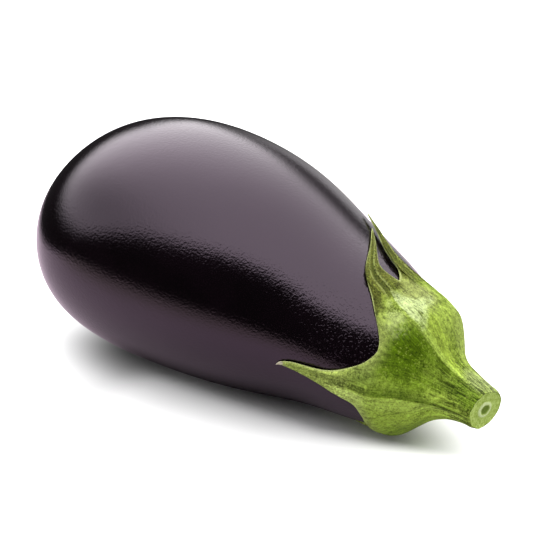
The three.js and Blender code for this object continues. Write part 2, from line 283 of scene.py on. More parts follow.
# The two middle points of the caps go out to the poles
tips = {True: axis_point(0), False: axis_point(SHOULDER_END)}
for vertex in fruit.data.vertices:
    if any(abs((vertex.co - c * MM).length) < 1e-7 for c in (first_centre, centre)):
        vertex.co = tips[vertex.co.x < 0] * MM
print("fruit rings", len(RING_SHARES), "vertices", len(fruit.data.vertices))

# %% [markdown]
# ## Fruit, smoothed and pressed
# Subdivision rounds the rings off. Then the fruit is laid on the table, and what would sink into it is pressed flat,
# as the soft skin is where a real fruit rests.

# %% Fruit, smoothed and pressed
apply_modifier(fruit, "SUBSURF", levels=2, render_levels=2)
to_table = Matrix.Translation(SHIFT * MM) @ TILT
fruit.data.transform(to_table)
for vertex in fruit.data.vertices:
    vertex.co.z = max(vertex.co.z, 0)
pick(fruit)
bpy.ops.object.shade_smooth()
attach(fruit, "root")
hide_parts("fruit")
print("fruit faces", len(fruit.data.polygons))

# %% [markdown]
# ## The form of the calyx
# The calyx is a cup that fits over the fruit's shoulder, with five pointed lobes that hug the skin, and it narrows to
# the stem. It grows as one piece, so it is drawn as one sheet: columns run from each point of the margin up to the
# cut, and rows run round. Beyond the lobes the sheet follows a curved centre line to the cut, with its own radius.

# %% The form of the stem
GAP = 0.15  # a leaf lies closer than two solids may
SHOULDER_GAP = 1.2
BLADE = 1.25
EDGE = 0.5
CUP_WALL = 1.3
NECK_START = 0.86
MERGED = 0.93
CUT_CENTRE = Vector((126.8, -12.3, 24.3))  # in the leaning drawing, over the table
CUT_FACING = Vector((0.949, -0.296, -0.109)).normalized()
STEM_PROFILE = [
    (0, 29.7), (0.14, 29), (0.28, 26.5), (0.42, 20.5), (0.56, 14.1), (0.7, 10.6), (0.84, 8.9), (0.95, 8.2), (1, 7.75),
]
RIDGE_HEIGHT = 2.4
GROOVE_DEPTH = 0.5
MIDDLE_LIFT = 0.45  # halfway along, a lobe arches off the skin by this much
SWOLLEN_SIDE = 45  # the cup bulges, and the stem beside it is slimmer, near this angle round the stem
FLAT_SIDE = 324  # the cut is flatter near this angle
RIB_HEIGHT = 0.35  # lengthwise ribs of the stem

LEVEL = TILT.inverted()
cut_centre = LEVEL @ (CUT_CENTRE + Vector((0, 0, FLOOR)))
cut_facing = (LEVEL.to_3x3() @ CUT_FACING).normalized()
neck_start = axis_point(NECK_START)
neck_way = (axis_point(NECK_START + 0.01) - axis_point(NECK_START - 0.01)).normalized()
reach = (cut_centre - neck_start).length * 0.33
HANDLES = [neck_start, neck_start + neck_way * reach, cut_centre - cut_facing * reach, cut_centre]
stem_radius = steady_curve(STEM_PROFILE)


def bezier(u):
    a, b, c, d = HANDLES
    return a * (1 - u) ** 3 + b * 3 * u * (1 - u) ** 2 + c * 3 * u * u * (1 - u) + d * u**3


def bezier_way(u):
    a, b, c, d = HANDLES
    return ((b - a) * 3 * (1 - u) ** 2 + (c - b) * 6 * u * (1 - u) + (d - c) * 3 * u * u).normalized()


SAMPLES = 200
run = [0.0]
for i in range(SAMPLES):
    run.append(run[-1] + (bezier((i + 1) / SAMPLES) - bezier(i / SAMPLES)).length)
STEM_LENGTH = run[-1]
even = steady_curve([(length / STEM_LENGTH, i / SAMPLES) for i, length in enumerate(run)])


def along_stem(t):
    return (t - NECK_START) * AXIS_LENGTH / STEM_LENGTH


def share_at_stem(w):
    return NECK_START + w * STEM_LENGTH / AXIS_LENGTH


print("stem line", round(STEM_LENGTH, 1), "mm")

# %% [markdown]
# ## The margins of the lobes
# Each lobe is drawn as a sewing pattern on the fruit: pairs of a share of the axis and an angle round it, from the
# tip to the notch on each side. The angles go from the back (0) over the top (90) to the near side (180), and of a
# lobe's two margins, the one called near is at the smaller angles. The camera sees three lobes, and the other two
# are a guess.

# %% The margins of the lobes
LOBES = [
    {  # the far lobe
        "root": (8, 82),
        "tip_lift": 1.3,
        "near": [
            (0.664, 51.6), (0.68, 53.8), (0.695, 56.4), (0.712, 59.6), (0.722, 61.6), (0.746, 65.4),
            (0.777, 70.4), (0.797, 72.4), (0.809, 71.9), (0.828, 68.8), (0.848, 63.4), (0.857, 57),
            (0.864, 38), (0.868, 8),
        ],
        "far": [
            (0.664, 51.6), (0.67, 54.4), (0.68, 57), (0.695, 59.9), (0.712, 63.4), (0.731, 66.8),
            (0.748, 71.4), (0.759, 73.8), (0.78, 76.6), (0.804, 78.2), (0.82, 80.8), (0.834, 84.5),
            (0.842, 88.3),
        ],
        "midline": [
            (0.664, 51.6), (0.68, 55.4), (0.695, 58.1), (0.712, 61.4), (0.731, 65), (0.748, 68.8),
            (0.765, 71.5), (0.784, 74.9), (0.804, 76.3), (0.819, 76.4), (0.832, 75), (0.848, 71), (0.867, 64),
            (0.93, 45),
        ],
    },
    {  # the top lobe
        "root": (82, 142),
        "tip_lift": 0.3,
        "near": [
            (0.713, 64.6), (0.73, 70.2), (0.75, 76.5), (0.785, 89), (0.797, 92.4), (0.807, 93.1),
            (0.818, 92.3), (0.829, 91), (0.842, 88.3),
        ],
        "far": [
            (0.713, 64.6), (0.722, 69.6), (0.736, 75.9), (0.755, 85), (0.773, 96), (0.786, 104), (0.8, 108.6),
            (0.829, 116.4), (0.845, 122.1), (0.872, 132.3), (0.885, 140.5), (0.888, 146),
        ],
        "midline": [
            (0.713, 64.6), (0.74, 74.8), (0.76, 83.8), (0.777, 91.4), (0.791, 98), (0.804, 101.8),
            (0.822, 102.8), (0.845, 103), (0.872, 107.5), (0.93, 112),
        ],
    },
    {  # the near lobe
        "root": (142, 208),
        "tip_lift": 0.3,
        "near": [
            (0.695, 189.4), (0.705, 185.4), (0.72, 183.4), (0.735, 182.2), (0.762, 180.9), (0.791, 178.7),
            (0.821, 174.1), (0.839, 169.6), (0.858, 163.7), (0.873, 157.3), (0.883, 151.4), (0.888, 146),
        ],
        "far": [
            (0.695, 189.4), (0.707, 187.3), (0.745, 187.8), (0.783, 189.3), (0.802, 191.2), (0.84, 195.1),
            (0.859, 197.8), (0.867, 201.5), (0.874, 210.3), (0.875, 214),
        ],
        "midline": [
            (0.695, 189.4), (0.707, 186.6), (0.745, 185), (0.784, 183.6), (0.83, 181.9), (0.86, 180.5),
            (0.892, 178.2), (0.93, 175),
        ],
    },
    {  # underneath, hidden from the camera
        "root": (208, 288),
        "tip_lift": 0.8,
        "near": [
            (0.712, 258), (0.75, 257), (0.79, 255), (0.83, 253), (0.85, 250), (0.862, 244), (0.87, 233),
            (0.875, 214),
        ],
        "far": [
            (0.712, 258), (0.74, 262), (0.77, 266), (0.8, 270), (0.83, 274), (0.855, 280), (0.866, 286),
            (0.868, 290),
        ],
        "midline": [(0.712, 258), (0.75, 259), (0.8, 262), (0.86, 258), (0.93, 248)],
    },
    {  # at the back, hidden from the camera
        "root": (288, 368),
        "tip_lift": 0.8,
        "near": [
            (0.69, 322), (0.72, 320.5), (0.75, 319), (0.78, 317.5), (0.81, 314.5), (0.835, 309.5),
            (0.855, 301), (0.866, 294), (0.868, 290),
        ],
        "far": [
            (0.69, 322), (0.72, 326), (0.75, 329), (0.78, 332), (0.81, 336), (0.835, 342), (0.855, 352),
            (0.865, 361), (0.868, 368),
        ],
        "midline": [(0.69, 322), (0.72, 323), (0.75, 324), (0.81, 325.5), (0.86, 327), (0.93, 328)],
    },
]


def margin(points):
    """A margin as a function of the share of its length from the tip, which gives its place and angle."""
    lengths = [0.0]
    for (t0, a0), (t1, a1) in zip(points, points[1:]):
        lengths.append(
            lengths[-1] + math.hypot((t1 - t0) * AXIS_LENGTH, math.radians(a1 - a0) * fruit_radius(t1))
        )
    shares = [length / lengths[-1] for length in lengths]
    place = steady_curve([(s, t) for s, (t, _) in zip(shares, points)])
    angle = steady_curve([(s, a) for s, (_, a) in zip(shares, points)])
    return lambda s: (place(s), angle(s))


print("lobes", len(LOBES))

# %% [markdown]
# ## Columns of the sheet
# A column starts on a margin at some share of the way from the tip to the notch, and ends at its own angle round the
# cut. The columns at the margins of a lobe lie closer near the tip, where the margin turns.

# %% Columns of the sheet
ACROSS = 36  # columns for each lobe
SERRATION = 0.35  # how uneven the margin is, in mm


class Column:
    def __init__(self, lobe, q):
        """A column at q across a lobe, from -1 at its near notch over 0 at its tip to 1 at its far notch."""
        self.p = abs(q)
        self.tip = lobe["near"][0][0]
        self.tip_lift = lobe["tip_lift"]
        self.midline = steady_curve(lobe["midline"])
        side = margin(lobe["near"] if q < 0 else lobe["far"])
        self.edge, angle = side(blend(self.p**0.9, smooth(self.p, 0, 1), 0.5))
        self.spread = angle - self.midline(self.edge)
        low, high = lobe["root"]
        self.stem_angle = (low + high) / 2 + q * (high - low) / 2
        self.way = Vector((math.cos(math.radians(self.stem_angle)), math.sin(math.radians(self.stem_angle)), 0))
        self.edge += SERRATION / AXIS_LENGTH * noise.noise(self.way * 45) * smooth(self.p, 0, 0.2)

    def angle(self, v):
        """The angle round the axis where v is 0 at the merged cup and 1 at the margin."""
        if v <= 0:
            return math.radians(self.stem_angle)
        t = MERGED + (self.edge - MERGED) * v
        root = self.stem_angle - self.midline(MERGED)
        fanned = (1 - v) ** 2  # it runs along the lobe before it fans out
        return math.radians(self.midline(t) + root * fanned + self.spread * (1 - fanned))


columns = [Column(lobe, -1 + 2 * i / ACROSS) for lobe in LOBES for i in range(ACROSS)]
print("columns", len(columns))

# %% [markdown]
# ## Where the sheet lies
# Outside, the sheet follows the fruit with a small clearance up to the neck, and then swells round the stem's centre
# line. Five ridges run from the stem down the lobes, and each lobe has two soft swellings beside a groove.

# %% Where the sheet lies
def depth_field(p):
    t = p.x / AXIS_LENGTH + BELLY
    centre = axis_point(t)
    y = p.y - centre.y
    z = (p.z - centre.z) / HEIGHT_SHARE
    return y * y + z * z - GREATEST_RADIUS**2 * squared_profile(t)


def clearance(p):
    """How far a point is outside the fruit, to first order."""
    here = depth_field(p)
    step = 1e-3
    slope = [(depth_field(p + Vector([step * (i == k) for i in range(3)])) - here) / step for k in range(3)]
    return here / math.hypot(*slope)


def off_skin(t, angle, distance):
    """The point at a distance outside the skin."""
    if t > SHOULDER_END - 1e-4:
        return axis_point(SHOULDER_END) + Vector((distance, 0, 0))
    along = skin_point(min(t + 1e-3, SHOULDER_END - 1e-5), angle) - skin_point(t - 1e-3, angle)
    around = skin_point(t, angle + 1e-3) - skin_point(t, angle - 1e-3)
    return skin_point(t, angle) + around.cross(along).normalized() * distance


COVER_AT_NECK = STEM_PROFILE[0][1] - fruit_radius(NECK_START)
CREST = 0.12  # how round the tops of the ridges are
COLLAR_HEIGHT = 0.25  # a low ring behind the cut
BULGE_HEIGHT = 0.8  # of the cup, on its swollen side
WAIST_DEPTH = 1.3  # how much slimmer the stem is beyond that bulge
FLAT_DEPTH = 0.9  # of the stem's flatter side at the cut


def hump(x, middle, width):
    """A soft hump that is 1 high."""
    return math.exp(-(((x - middle) / width) ** 2))


def outside(t, angle, more):
    w = along_stem(t)
    way = Vector((1, 0, 0))
    if w > 0:
        way = way.lerp(bezier_way(even(min(w, 1))), smooth(w, 0.05, 0.6)).normalized()
    side = Vector((0, 0, 1)).cross(way).normalized()
    up = way.cross(side)
    cover = blend(BLADE + GAP, COVER_AT_NECK, smooth(t, 0.8, NECK_START))
    least = GAP + blend(EDGE, CUP_WALL, smooth(t, NECK_START, MERGED))
    r = (fruit_radius(t) + cover if w < 0 else stem_radius(w)) + more
    squash = blend(HEIGHT_SHARE, 1, smooth(w, 0, 0.4))
    centre = axis_point(t) if w < 0 else bezier(even(min(w, 1)))
    out = side * math.cos(angle) + up * math.sin(angle) * squash
    point = centre + out * r
    for _ in range(60):
        if t <= 0.8 or clearance(point) >= least:
            break
        point += out * 0.1
    return point


def gap_at(t, v):
    """The clearance under the sheet."""
    shoulder = (SHOULDER_GAP - GAP) * smooth(t, 0.88, 0.97)
    return GAP + max(shoulder, 0.25 * (1 - smooth(v, 0.8, 1)))


def lift(column, t):
    """How far a lobe stands off the skin, at its tip and halfway along."""
    to_tip = clamp((0.81 - t) / (0.81 - column.tip))
    arch = clamp((0.86 - t) / (0.86 - column.tip))
    return column.tip_lift * to_tip**2 + 4 * MIDDLE_LIFT * arch * (1 - arch)


def relief(column, t):
    """Ridges, ribs and dents, and what is uneven about the cup and the stem."""
    away = (math.hypot(column.p, CREST) - CREST) / (math.hypot(1, CREST) - CREST)
    w = along_stem(t)
    ridges = -RIDGE_HEIGHT * away * smooth(t, 0.85, 0.94) * (1 - 0.85 * smooth(w, 0.45, 0.95))
    ribs = noise.fractal(column.way * 2.6 + Vector((0, 0, t * 5)), 1, 2, 3) * smooth(w, 0.1, 0.6)
    dents = noise.fractal(column.way * 1.5 + Vector((7, 0, t * 14)), 1, 2, 2) * smooth(t, 0.84, 0.9)
    collar = COLLAR_HEIGHT * hump(w, 0.955, 0.016)
    bulge = BULGE_HEIGHT * hump(w, 0.36, 0.08) - WAIST_DEPTH * hump(w, 0.57, 0.12)
    bulge *= hump(column.stem_angle, SWOLLEN_SIDE, 40)
    flat = -FLAT_DEPTH * hump(column.stem_angle, FLAT_SIDE, 28) * smooth(w, 0.75, 1)
    return ridges + RIB_HEIGHT * (ribs + 0.8 * dents * (1 - smooth(w, 0.5, 0.9))) + collar + bulge + flat


def leaflet(column, v):
    """Two soft swellings of a lobe, with the groove between them."""
    swell = hump(column.p, 0.42, 0.24) - 0.7 * hump(column.p, 0, 0.09)
    return GROOVE_DEPTH * swell * smooth(v, 0.3, 0.6) * (1 - smooth(v, 0.92, 1))


# %% [markdown]
# ## Rows of the sheet
# The rows go from the hidden dome over the fruit's shoulder, along the inside to the margin, back along the outside,
# up the stem and over the cut to the pith. Each row tells the shader where it is: how far it is from the margin, how
# far along the stem, and how far from the middle of the cut.

# %% Rows of the sheet
INNER = [1, 0.97, 0.91, 0.82, 0.71, 0.59, 0.46, 0.33, 0.2, 0.12, 0.06, 0.02, 0]
OUTER = [
    1, 0.985, 0.96, 0.92, 0.87, 0.82, 0.76, 0.7, 0.64, 0.58, 0.52, 0.46, 0.4, 0.34, 0.28, 0.22, 0.16, 0.11, 0.05, 0,
]
STEM = [
    0.04, 0.08, 0.13, 0.18, 0.23, 0.28, 0.34, 0.4, 0.46, 0.52, 0.58, 0.64, 0.7, 0.76, 0.81, 0.86, 0.9, 0.935, 0.96,
    0.98, 0.992, 1,
]
# Share of the cut's radius, height over the cut
CUT_FACE = [
    (0.97, 0.05), (0.93, -0.15), (0.88, -0.3), (0.7, -0.4), (0.52, -0.45), (0.43, -0.38), (0.4, -0.15),
    (0.35, -0.05), (0.28, -0.05), (0.24, -0.15), (0.2, -0.5), (0.1, -0.62), (0, -0.6),
]
merged_way = along_stem(MERGED)


def inner_place(column, s):
    t = column.edge + (SHOULDER_END - column.edge) * s
    v = (t - MERGED) / (column.edge - MERGED)
    return off_skin(t, column.angle(v), gap_at(t, v) + lift(column, t)), {"side": -1.0, "margin": v, "along": t}


def outer_place(column, v):
    t = MERGED + (column.edge - MERGED) * v
    thin = (BLADE - EDGE) * smooth(v, 0.8, 1)
    swell = leaflet(column, v) + relief(column, t) + lift(column, t) - thin
    return outside(t, column.angle(v), swell), {"side": 1.0, "margin": v, "along": t}


def stem_place(column, s):
    t = share_at_stem(merged_way + (1 - merged_way) * s)
    return outside(t, math.radians(column.stem_angle), relief(column, t)), {"side": 1.0, "margin": 0.0, "along": t}


def cut_place(column, share, height):
    t = share_at_stem(1)
    torn = 0.5 * noise.noise(column.way * 2.2) + 0.35 * max(noise.noise(column.way * 9), 0)
    rim = outside(t, math.radians(column.stem_angle), relief(column, t) + torn * smooth(share, 0.6, 0.95))
    chewed = 0.12 * noise.noise(column.way * share * 8) * smooth(share, 0.2, 0.5)
    place = cut_centre.lerp(rim, share) + cut_facing * (height + chewed)
    return place, {"side": 1.0, "margin": 0.0, "along": t, "cut": share}


rows = [lambda c, s=s: inner_place(c, s) for s in INNER]
rows += [lambda c, v=v: outer_place(c, v) for v in OUTER]
rows += [lambda c, s=s: stem_place(c, s) for s in STEM]
rows += [lambda c, r=r, h=h: cut_place(c, r, h) for r, h in CUT_FACE]
print("rows", len(rows))

# %% [markdown]
# ## Rolling the sheet up
# A grid is Blender's flat sheet. It has one face for each step between columns and between rows, and every vertex is
# put in its place on the calyx. Then the two sides that meet, and the rows that shrink to a point, are merged.

# %% Calyx
deselect_all()
bpy.ops.mesh.primitive_grid_add(x_subdivisions=len(columns), y_subdivisions=len(rows) - 1, size=2)
calyx = bpy.context.object
calyx.name = "calyx_and_stem"
marks = {name: [] for name in ("around", "along", "margin", "side", "cut", "across")}
grain = []
for vertex in calyx.data.vertices:
    i = round((vertex.co.x + 1) / 2 * len(columns))
    j = round((vertex.co.y + 1) / 2 * (len(rows) - 1))
    column = columns[i % len(columns)]
    place, values = rows[j](column)
    vertex.co = place * MM
    values = {"around": (i % len(columns)) / len(columns), "cut": 1.2, "across": column.p, **values}
    for name, value in values.items():
        marks[name].append(value)
    grain += [column.way.x, column.way.y, values["along"]]
for name, values in marks.items():
    calyx.data.attributes.new(name, "FLOAT", "POINT").data.foreach_set("value", values)
calyx.data.attributes.new("grain", "FLOAT_VECTOR", "POINT").data.foreach_set("vector", grain)
calyx.data.transform(to_table)
bpy.ops.object.mode_set(mode="EDIT")
bpy.ops.mesh.select_all(action="SELECT")
bpy.ops.mesh.remove_doubles(threshold=1e-6)
bpy.ops.mesh.normals_make_consistent(inside=False)
bpy.ops.object.mode_set(mode="OBJECT")
apply_modifier(calyx, "SUBSURF", levels=1, render_levels=1)
pick(calyx)
bpy.ops.object.shade_smooth()
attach(calyx, "root")
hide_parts("calyx_with_stem")
print("calyx faces", len(calyx.data.polygons))

# %% [markdown]
# ## Shader maths in plain Python
# A pattern is easier to read as an expression than as a list of nodes. This small class wraps a socket, and its
# operators add the Math nodes. Any other node comes from one method.

# %% Shader maths in plain Python
class Wire:
    def __init__(self, tree, socket=None):
        self.tree = tree
        self.socket = socket

    def node(self, kind, settings=None, inputs=None, output=0):
        """A new node of a kind, with its settings made first, then the values or wires of its sockets."""
        node = self.tree.nodes.new("ShaderNode" + kind)
        for name, value in (settings or {}).items():
            setattr(node, name, value)
        for name, value in (inputs or {}).items():
            if isinstance(value, Wire):
                self.tree.links.new(value.socket, node.inputs[name])
            else:
                node.inputs[name].default_value = value
        return Wire(self.tree, node.outputs[output])

    def math(self, operation, *values):
        return self.node("Math", {"operation": operation}, dict(enumerate(values)))

    def __add__(self, other):
        return self.math("ADD", self, other)

    def __sub__(self, other):
        return self.math("SUBTRACT", self, other)

    def __rsub__(self, other):
        return self.math("SUBTRACT", other, self)

    def __mul__(self, other):
        return self.math("MULTIPLY", self, other)

    def __truediv__(self, other):
        return self.math("DIVIDE", self, other)

    def __pow__(self, other):
        return self.math("POWER", self, other)

    __radd__ = __add__
    __rmul__ = __mul__

    def at_least(self, low):
        return self.math("MAXIMUM", self, low)

    def at_most(self, high):
        return self.math("MINIMUM", self, high)

    def step(self, low, high):
        """0 below low and 1 above high, softly."""
        settings = {"interpolation_type": "SMOOTHSTEP"}
        return self.node("MapRange", settings, {"Value": self, "From Min": low, "From Max": high})

    def mix(self, start, end):
        """The colour at this share of the way from one colour to another."""
        colours = [c if isinstance(c, Wire) else (*c, 1) for c in (start, end)]
        settings = {"data_type": "RGBA"}
        return self.node("Mix", settings, {0: self, 6: colours[0], 7: colours[1]}, output=2)

    def split(self, part):
        return self.node("SeparateXYZ", None, {0: self}, output=part)


def new_material(name):
    """A material with a Principled shader, and the wire that starts its patterns."""
    material = bpy.data.materials.new(name)
    material.use_nodes = True
    return material, material.node_tree.nodes["Principled BSDF"], Wire(material.node_tree)


def dress(piece, material):
    piece.data.materials.clear()
    piece.data.materials.append(material)


# %% [markdown]
# ## Skin
# The skin is nearly black, with a thin wax that reflects the studio. It is covered in fine pebbles under a millimetre
# across, on broad waves too shallow to see, so the edges of each reflection break up into grain. Nearer the calyx it
# has pores too, which glint where the room is dark. Three noises in one Bump node do that, because all of it is only
# hundredths of a millimetre high. A corky brown scar is left at the blind end, where the flower dropped off.

# %% Skin
SKIN_BUMP = 0.00006  # metres
SKIN_ROUGHNESS = 0.13
SCAR_RADIUS = (0.0018, 0.0032)
SKIN_TONES = (0.0014, 0.0006, 0.0010), (0.0024, 0.0010, 0.0018)
CORK = (0.11, 0.065, 0.035)

skin, surface, start = new_material("aubergine_skin")
place = start.node("TexCoord", output=3)
pebbles = start.node("TexNoise", None, {"Vector": place, "Scale": 1200, "Detail": 1, "Roughness": 0.6})
waves = start.node("TexNoise", None, {"Vector": place, "Scale": 60, "Detail": 2, "Roughness": 0.5})
pores = start.node("TexNoise", None, {"Vector": place, "Scale": 1300, "Detail": 0}).step(0.6, 0.72)
near_calyx = place.split(0).step(0.01, 0.06)
height = pebbles * 1.35 + waves * 1.2 + pores * near_calyx * 0.7
bump = start.node("Bump", None, {"Height": height, "Strength": 1.0, "Distance": SKIN_BUMP})
pole = to_table @ (axis_point(0) * MM)
from_pole = start.node("VectorMath", {"operation": "DISTANCE"}, {0: place, 1: pole}, output=1)
scar = 1 - (from_pole + (pebbles - 0.5) * 0.002).step(*SCAR_RADIUS)
tone = scar.mix(waves.step(0.35, 0.65).mix(*SKIN_TONES), CORK)
start.tree.links.new(tone.socket, surface.inputs["Base Color"])
start.tree.links.new(bump.socket, surface.inputs["Normal"])
start.tree.links.new((scar * 0.5 + SKIN_ROUGHNESS).socket, surface.inputs["Roughness"])
surface.inputs["IOR"].default_value = 1.5
surface.inputs["Specular Tint"].default_value = (1.0, 0.81, 1.0, 1)
dress(fruit, skin)
print("skin nodes", len(skin.node_tree.nodes))

# %% [markdown]
# ## Green of the calyx
# The calyx is thick green tissue. It is pale and waxy where two lobes part, and olive on the thin lobes. It is deep
# green in the hollows between the ridges, partly its own colour and partly painted shade, and yellow-green on the
# bulges, partly its own colour and partly painted light. Soft spots and edges at places given round and along the
# sheet do that, because each patch is tied to a part of the plant, and a noise makes them uneven.

# %% Places on the calyx
PALE = (0.23, 0.275, 0.08)
WAX = (0.35, 0.43, 0.18)
LEAF = (0.145, 0.215, 0.022)
SUNNY = (0.225, 0.31, 0.045)
DEEP_GREEN_AND_SHADE = (0.068, 0.125, 0.003)
OLIVE = (0.08, 0.092, 0.015)
BULGE_GREEN_AND_LIGHT = (0.32, 0.46, 0.058)
CREAM = (0.62, 0.58, 0.42)
GROOVE = (0.03, 0.045, 0.006)

green, surface, start = new_material("calyx_green")
place = start.node("TexCoord", output=3)
mark = {name: start.node("Attribute", {"attribute_name": name}, output=2) for name in marks}
grain_place = start.node("Attribute", {"attribute_name": "grain"}, output=1)
around, along, edge_share, across, cut = (mark[name] for name in ("around", "along", "margin", "across", "cut"))


def cloud(size, detail=3.0):
    """A noise whose patches have a size in mm, mostly from 0.3 to 0.7."""
    inputs = {"Vector": place, "Scale": 1 / (size * MM), "Detail": detail, "Roughness": 0.6}
    return start.node("TexNoise", None, inputs)


def strokes(length, width):
    """A noise drawn out along the sheet, as fibres are."""
    shrink = (1 / width, 1 / width, 1 / length)
    drawn = start.node("VectorMath", {"operation": "MULTIPLY"}, {0: grain_place, 1: shrink})
    return start.node("TexNoise", None, {"Vector": drawn, "Scale": 1, "Detail": 2, "Roughness": 0.6})


blots, mottle, fine = cloud(5, 4), cloud(1.5), cloud(0.6, 2)
ribs, fibres, hairs = strokes(0.07, 0.2), strokes(0.035, 0.07), strokes(0.02, 0.025)
uneven = (blots - 0.5) * 0.05 + (fine - 0.5) * 0.03


def spot(round_at, along_at, round_size, along_size):
    """1 at a place on the sheet, and 0 beyond a size round it."""
    a = (around - round_at + uneven) / round_size
    b = (along - along_at + uneven) / along_size
    return 1 - ((a * a + b * b) ** 0.5).step(0.35, 1)


def beyond(first, second, soft):
    """1 on the left of the line from one place on the sheet to another, as seen on the table of round and along."""
    (a0, t0), (a1, t1) = first, second
    length = math.hypot(a1 - a0, t1 - t0)
    off = (along - t0) * ((a1 - a0) / length) - (around - a0) * ((t1 - t0) / length) + uneven * 0.4
    return off.step(-soft, soft)


print("noises made, nodes so far", len(green.node_tree.nodes))

# %% [markdown]
# ## Soft tones of the calyx
# The broad colours come first, as in a painting: the green all over, then the bulges, partly painted light, the deep
# hollow that faces the camera, partly painted shade, a painted highlight along the facing ridge, the crease from the
# near lobe to the stem with painted shade above and painted light below, the pale wax and the olive lobes. Each later
# one covers the earlier ones where it lies.

# %% Soft tones of the calyx
def dab(under, *dabs):
    """Paints spots over a tone: each has its place and size round and along, its strength and its colour."""
    for where, size, strength, colour in dabs:
        under = (spot(*where, *size) * strength).mix(under, colour)
    return under


tone = (blots * 0.5 + mottle * 0.5).step(0.38, 0.6).mix(LEAF, SUNNY)
# Painted shade in the hollows between the ridges, over a deeper green of their own
hollows = across.step(0.3, 0.8) * along.step(0.9, 0.94) * (1 - along.step(0.99, 1.04))
tone = (hollows * 0.12).mix(tone, DEEP_GREEN_AND_SHADE)
# Bulges, lighter partly in their own yellow-green and partly with painted light: under the near lobe, beside the
# facing ridge, and over the top of the stem
tone = dab(
    tone,
    ((0.6, 0.95), (0.17, 0.16), 1, BULGE_GREEN_AND_LIGHT),
    ((0.68, 0.93), (0.07, 0.1), 0.6, (0.15, 0.24, 0.03)),
    ((0.24, 0.98), (0.07, 0.08), 0.8, (0.22, 0.31, 0.035)),
    ((0.19, 1.06), (0.16, 0.06), 0.8, (0.19, 0.235, 0.085)),
    ((0.12, 0.965), (0.05, 0.06), 0.8, (0.27, 0.36, 0.07)),
    ((0.45, 0.87), (0.07, 0.05), 0.8, (0.22, 0.32, 0.05)),
    ((0.18, 0.937), (0.05, 0.035), 0.3, (0.34, 0.45, 0.085)),
)
# Painted shade on the hollow that faces the camera, darkest beside the ridge, over a deeper green of its own
tone = dab(
    tone,
    ((0.41, 0.96), (0.12, 0.07), 1, (0.155, 0.25, 0.018)),
    ((0.365, 0.935), (0.085, 0.055), 1, DEEP_GREEN_AND_SHADE),
    ((0.425, 0.93), (0.05, 0.05), 0.7, DEEP_GREEN_AND_SHADE),
)
# Painted shade on the side of the facing ridge that turns away from the light, over a darker green of its own
shaded_ridge_side = beyond((0.304, 1.0), (0.304, 0.9), 0.004) * (1 - around.step(0.31, 0.37))
tone = (shaded_ridge_side * along.step(0.915, 0.935) * (1 - along.step(1.0, 1.09)) * 0.75).mix(tone, DEEP_GREEN_AND_SHADE)
# The facing ridge has a painted highlight along its top, and the stem beside it is darker, partly with painted shade
from_crest = (around - 0.289 + uneven * 0.3) * (around - 0.289)
crest_highlight = (1 - from_crest.step(0.00003, 0.0003)) * along.step(0.90, 0.94)
tone = (crest_highlight * (1 - along.step(1.0, 1.06)) * 0.45).mix(tone, (0.30, 0.42, 0.07))
tone = dab(
    tone,
    ((0.385, 1.07), (0.11, 0.1), 0.85, (0.085, 0.145, 0.01)),
    ((0.47, 1.1), (0.07, 0.06), 0.8, (0.085, 0.14, 0.01)),
    ((0.39, 0.99), (0.05, 0.035), 0.6, (0.19, 0.285, 0.03)),
)
# A crease runs from the near lobe to the stem, dark above and light below: painted shade above and painted light
# below, over darker and lighter green of its own
crease = around - (along.step(0.94, 1.03) * 0.052 + 0.511)
over = (crease + 0.05).step(0, 0.045) * (1 - crease.step(-0.003, 0.004)) * along.step(0.88, 0.91)
tone = (over * (1 - along.step(1.03, 1.08)) * 0.8).mix(tone, (0.085, 0.15, 0.008))
under = crease.step(0.0, 0.006) * (1 - crease.step(0.03, 0.07)) * along.step(0.81, 0.86)
tone = (under * (1 - along.step(1.04, 1.1)) * 0.8).mix(tone, (0.37, 0.51, 0.085))
# Pale wax where lobes part, palest in the facing notch, between the ridge and the far lobe
tone = (across.step(0.4, 0.95) * (1 - along.step(0.88, 0.915)) * 0.75).mix(tone, PALE)
tone = dab(tone, ((0.2, 0.88), (0.09, 0.05), 0.8, PALE))
wax = beyond((0.294, 0.84), (0.294, 0.94), 0.005) * beyond((0.294, 0.937), (0.19, 0.905), 0.009)
wax = wax * beyond((0.185, 0.9), (0.294, 0.846), 0.011)
tone = (wax * (hairs * 0.5 + blots * 0.5).step(0.3, 0.5)).mix(tone, WAX)
tone = dab(tone, ((0.335, 0.888), (0.045, 0.035), 0.9, (0.31, 0.39, 0.12)))
# The thin lobes are olive. The near one and the hidden ones are lighter, most of all beyond the crease
on_lobe = 1 - (along + (blots - 0.5) * 0.06).step(0.83, 0.875)
near_lobe = around.step(0.41, 0.44)
tone = on_lobe.mix(tone, near_lobe.mix(OLIVE, (0.27, 0.345, 0.075)))
under_lobe = near_lobe * crease.step(0.0, 0.02) * (1 - along.step(0.865, 0.9)) * along.step(0.80, 0.84)
tone = under_lobe.mix(tone, (0.44, 0.56, 0.14))
print("soft tones painted, nodes so far", len(green.node_tree.nodes))

# %% [markdown]
# ## Fibres, specks and lines of the calyx
# Over the broad colours lies what the eye reads as plant: fine grain, lengthwise fibres that grow stronger on the
# stem, and pale specks. Then come the drawn lines: a dark dotted groove down each lobe, a pale vein beside it on the
# far lobe and the top one, and a thin pale margin. The near lobe has dried at its tip, and the hidden ones likewise.

